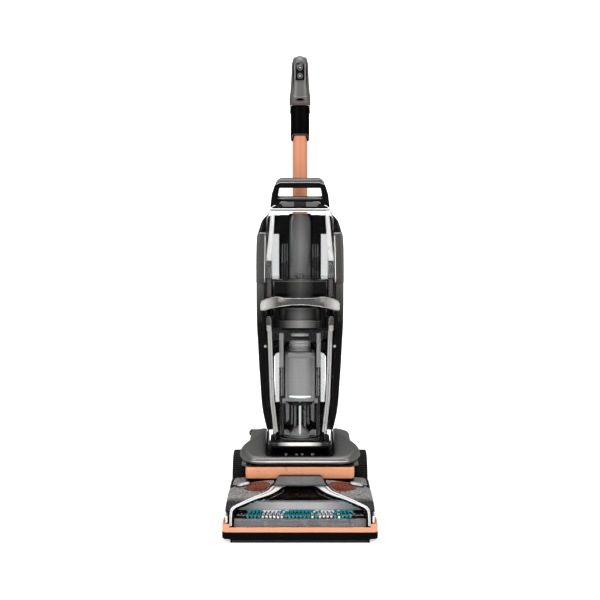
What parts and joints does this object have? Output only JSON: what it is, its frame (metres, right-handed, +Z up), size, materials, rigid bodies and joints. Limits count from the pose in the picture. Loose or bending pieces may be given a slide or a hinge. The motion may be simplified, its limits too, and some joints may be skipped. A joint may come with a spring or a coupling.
{
  "type": "upright carpet cleaner",
  "caption": "Upright carpet cleaner: wheeled foot with two brush rolls and lift-off clear nozzle, reclining body with clean and recovery tanks, pole and loop handle.",
  "frame": {"origin": "on the floor, at the centre of the bounding box's footprint", "axes": "+Z up, -Y towards the nozzle (the front), +X to the right as seen from the front"},
  "size_m": [0.35, 0.41, 1.1],
  "materials": {
    "graphite_metallic": "satin metallic graphite plastic",
    "black_gloss": "polished black plastic",
    "black_matte": "fine-grained black plastic",
    "grey_textured": "leather-textured grey plastic",
    "copper_plastic": "satin copper-coloured plastic",
    "copper_tube": "satin copper lacquer on a steel tube",
    "bright_trim": "bright plated plastic",
    "amber_lens": "ribbed red-brown lens",
    "smoked_clear": "clear lightly smoked plastic",
    "tank_clear": "clear plastic",
    "bristle_nylon": "teal and white nylon tufts",
    "roll_core": "moulded black plastic",
    "steel": "turned steel",
    "motor_metal": "sand-cast and painted motor shell",
    "belt_rubber": "matt rubber",
    "tyre_rubber": "ribbed soft rubber",
    "wheel_plastic": "black plastic",
    "float_grey": "satin mid-grey plastic",
    "separator_grey": "dark grey plastic",
    "valve_grey": "dark grey plastic"
  },
  "bodies": {
    "base": {"chassis": "black_matte", "hood": "graphite_metallic", "recess_panel": "black_gloss", "copper_band": "copper_plastic", "brush_housing": "black_matte", "shoulders": "grey_textured", "amber_lenses": "amber_lens", "side_trims": "bright_trim", "copper_trim": "copper_plastic", "bumper": "black_matte", "brush_motor": "motor_metal", "brush_belts": "belt_rubber", "rear_axle": "steel", "pivot_pins": "steel", "foot_duct": "black_matte"},
    "nozzle": {"nozzle_cover": "smoked_clear", "nozzle_channel": "smoked_clear", "nozzle_arms": "bright_trim", "nozzle_latch": "graphite_metallic"},
    "rear_roll": {"rear_roll_core": "roll_core", "rear_roll_bristles": "bristle_nylon"},
    "front_roll": {"front_roll_core": "roll_core", "front_roll_bristles": "bristle_nylon"},
    "motor_drive": {"motor_pulley": "steel"},
    "left_wheel_set": {"left_wheel": "wheel_plastic", "left_tyre": "tyre_rubber"},
    "right_wheel_set": {"right_wheel": "wheel_plastic", "right_tyre": "tyre_rubber"},
    "left_latch": {"left_release_button": "bright_trim"},
    "right_latch": {"right_release_button": "bright_trim"},
    "pedal": {"recline_pedal": "graphite_metallic"},
    "upright": {"frame": "black_matte", "yoke": "black_matte", "side_rails": "black_gloss", "side_panels": "graphite_metallic", "mid_collar": "black_gloss", "chrome_bar": "bright_trim", "motor_housing": "black_matte", "suction_motor": "motor_metal", "water_pump": "roll_core", "cord_gland": "belt_rubber", "pole": "copper_tube", "pole_sleeve": "black_gloss", "handle_core": "black_matte", "handle_cover": "graphite_metallic", "button_panel": "black_gloss"},
    "fan": {"impeller": "motor_metal"},
    "upper_key": {"upper_button": "roll_core"},
    "lower_key": {"lower_button": "roll_core"},
    "spray_trigger": {"trigger": "roll_core"},
    "flex_hook": {"cord_hook": "black_matte"},
    "clean_water_tank": {"clean_tank": "tank_clear", "clean_tank_lid": "black_matte", "carry_handle": "black_gloss", "tank_valve": "valve_grey"},
    "dirty_water_tank": {"recovery_tank": "tank_clear", "recovery_lid": "black_gloss", "separator": "separator_grey", "recovery_handle": "graphite_metallic"},
    "float_valve": {"float": "float_grey"}
  },
  "joints": [
    {"name": "recline", "type": "hinge", "parent": "base", "child": "upright", "pos_m": [0, 0.085, 0.112], "axis": [-1, 0, 0], "range_deg": [0, 65]},
    {"name": "left_wheel_spin", "type": "hinge", "parent": "base", "child": "left_wheel_set", "pos_m": [-0.15, 0.105, 0.068], "axis": [1, 0, 0], "continuous": true},
    {"name": "right_wheel_spin", "type": "hinge", "parent": "base", "child": "right_wheel_set", "pos_m": [0.15, 0.105, 0.068], "axis": [1, 0, 0], "continuous": true},
    {"name": "rear_roll_spin", "type": "hinge", "parent": "base", "child": "rear_roll", "pos_m": [0, -0.098, 0.035], "axis": [1, 0, 0], "continuous": true},
    {"name": "front_roll_spin", "type": "hinge", "parent": "base", "child": "front_roll", "pos_m": [0, -0.158, 0.035], "axis": [1, 0, 0], "continuous": true},
    {"name": "motor_pulley_spin", "type": "hinge", "parent": "base", "child": "motor_drive", "pos_m": [-0.157, -0.008, 0.07], "axis": [1, 0, 0], "continuous": true},
    {"name": "nozzle_lift", "type": "slide", "parent": "base", "child": "nozzle", "axis": [0, -0.5, 0.866], "range_m": [0, 0.1]},
    {"name": "left_latch_press", "type": "slide", "parent": "base", "child": "left_latch", "axis": [0, 0, -1], "range_m": [0, 0.003], "stiffness_N_per_m": 400},
    {"name": "right_latch_press", "type": "slide", "parent": "base", "child": "right_latch", "axis": [0, 0, -1], "range_m": [0, 0.003], "stiffness_N_per_m": 400},
    {"name": "pedal_press", "type": "hinge", "parent": "base", "child": "pedal", "pos_m": [-0.108, 0.17, 0.15], "axis": [-1, 0, 0], "range_deg": [0, 14], "stiffness_Nm_per_rad": 2},
    {"name": "clean_tank_lift", "type": "slide", "parent": "upright", "child": "clean_water_tank", "axis": [0, 0, 1], "range_m": [0, 0.15]},
    {"name": "recovery_tank_pull", "type": "slide", "parent": "upright", "child": "dirty_water_tank", "axis": [0, -1, 0], "range_m": [0, 0.16]},
    {"name": "float_rise", "type": "slide", "parent": "dirty_water_tank", "child": "float_valve", "axis": [0, 0, 1], "range_m": [0, 0.015]},
    {"name": "fan_spin", "type": "hinge", "parent": "upright", "child": "fan", "pos_m": [0, 0.104, 0.34], "axis": [0, 0, 1], "continuous": true},
    {"name": "upper_key_press", "type": "slide", "parent": "upright", "child": "upper_key", "axis": [0, 1, 0], "range_m": [0, 0.0015], "stiffness_N_per_m": 300},
    {"name": "lower_key_press", "type": "slide", "parent": "upright", "child": "lower_key", "axis": [0, 1, 0], "range_m": [0, 0.0015], "stiffness_N_per_m": 300},
    {"name": "trigger_pull", "type": "hinge", "parent": "upright", "child": "spray_trigger", "pos_m": [0, 0.112, 1.066], "axis": [1, 0, 0], "range_deg": [0, 8], "stiffness_Nm_per_rad": 0.3},
    {"name": "flex_hook_turn", "type": "hinge", "parent": "upright", "child": "flex_hook", "pos_m": [0, 0.1, 0.69], "axis": [0, 1, 0], "range_deg": [0, 180]}
  ],
  "couplings": [
    {"joint": "front_roll_spin", "follows": "rear_roll_spin", "ratio": 1},
    {"joint": "motor_pulley_spin", "follows": "rear_roll_spin", "ratio": 1.5556}
  ]
}
